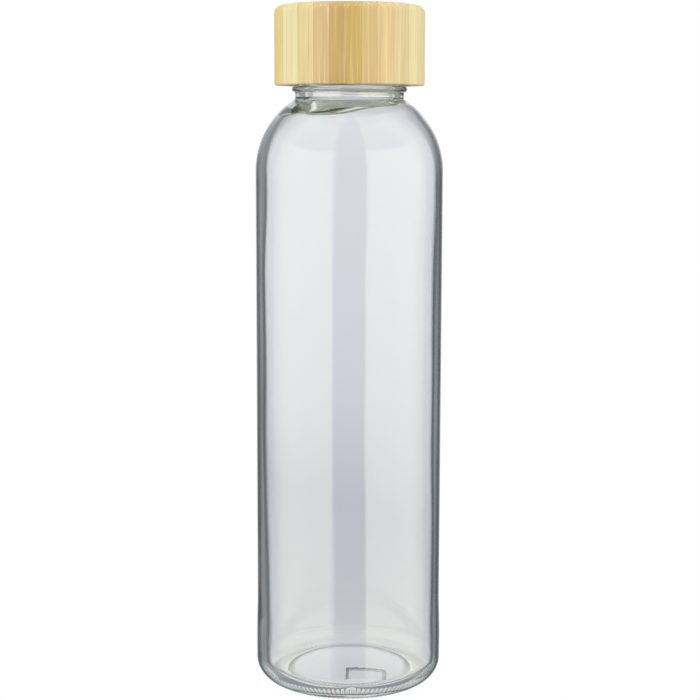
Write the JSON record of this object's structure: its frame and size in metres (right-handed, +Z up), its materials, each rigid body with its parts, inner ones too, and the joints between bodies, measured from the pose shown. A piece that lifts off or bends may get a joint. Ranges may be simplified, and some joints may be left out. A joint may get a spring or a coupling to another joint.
{
  "type": "glass water bottle",
  "caption": "Clear glass drinking bottle with a straight round body, domed shoulder and short neck, closed by a bamboo screw cap with a threaded plastic liner and a silicone seal.",
  "frame": {"origin": "centre of the base, on the plane that the bottle stands on", "axes": "+Z up along the bottle's axis towards the cap; -Y is the front"},
  "size_m": [0.0656, 0.0656, 0.2376],
  "materials": {
    "clear_glass": "polished clear soda-lime glass with a faint green cast where it is thick",
    "silicone": "translucent white silicone",
    "liner_plastic": "moulded white polypropylene",
    "bamboo_pale": "satin lacquered bamboo, pale slat",
    "bamboo_golden": "satin lacquered bamboo, golden slat",
    "bamboo_tan": "satin lacquered bamboo, tan slat",
    "bamboo_dark": "satin lacquered bamboo, darker slat"
  },
  "bodies": {
    "bottle": {"glass_body": "clear_glass"},
    "seal": {"silicone_seal": "silicone"},
    "cap": {"cap_liner": "liner_plastic", "bamboo_slat_01": "bamboo_golden", "bamboo_slat_02": "bamboo_pale", "bamboo_slat_03": "bamboo_pale", "bamboo_slat_04": "bamboo_tan", "bamboo_slat_05": "bamboo_dark", "bamboo_slat_06": "bamboo_golden", "bamboo_slat_07": "bamboo_tan", "bamboo_slat_08": "bamboo_tan", "bamboo_slat_09": "bamboo_pale", "bamboo_slat_10": "bamboo_golden"}
  },
  "joints": [
    {"name": "cap_lift", "type": "slide", "parent": "bottle", "child": "seal", "axis": [0, 0, 1], "range_m": [0, 0.00634]},
    {"name": "cap_turn", "type": "hinge", "parent": "seal", "child": "cap", "pos_m": [0, 0, 0.2105], "axis": [0, 0, 1], "range_deg": [0, 540]}
  ],
  "couplings": [
    {"joint": "cap_lift", "follows": "cap_turn", "m_per_rad": 0.00067323}
  ]
}
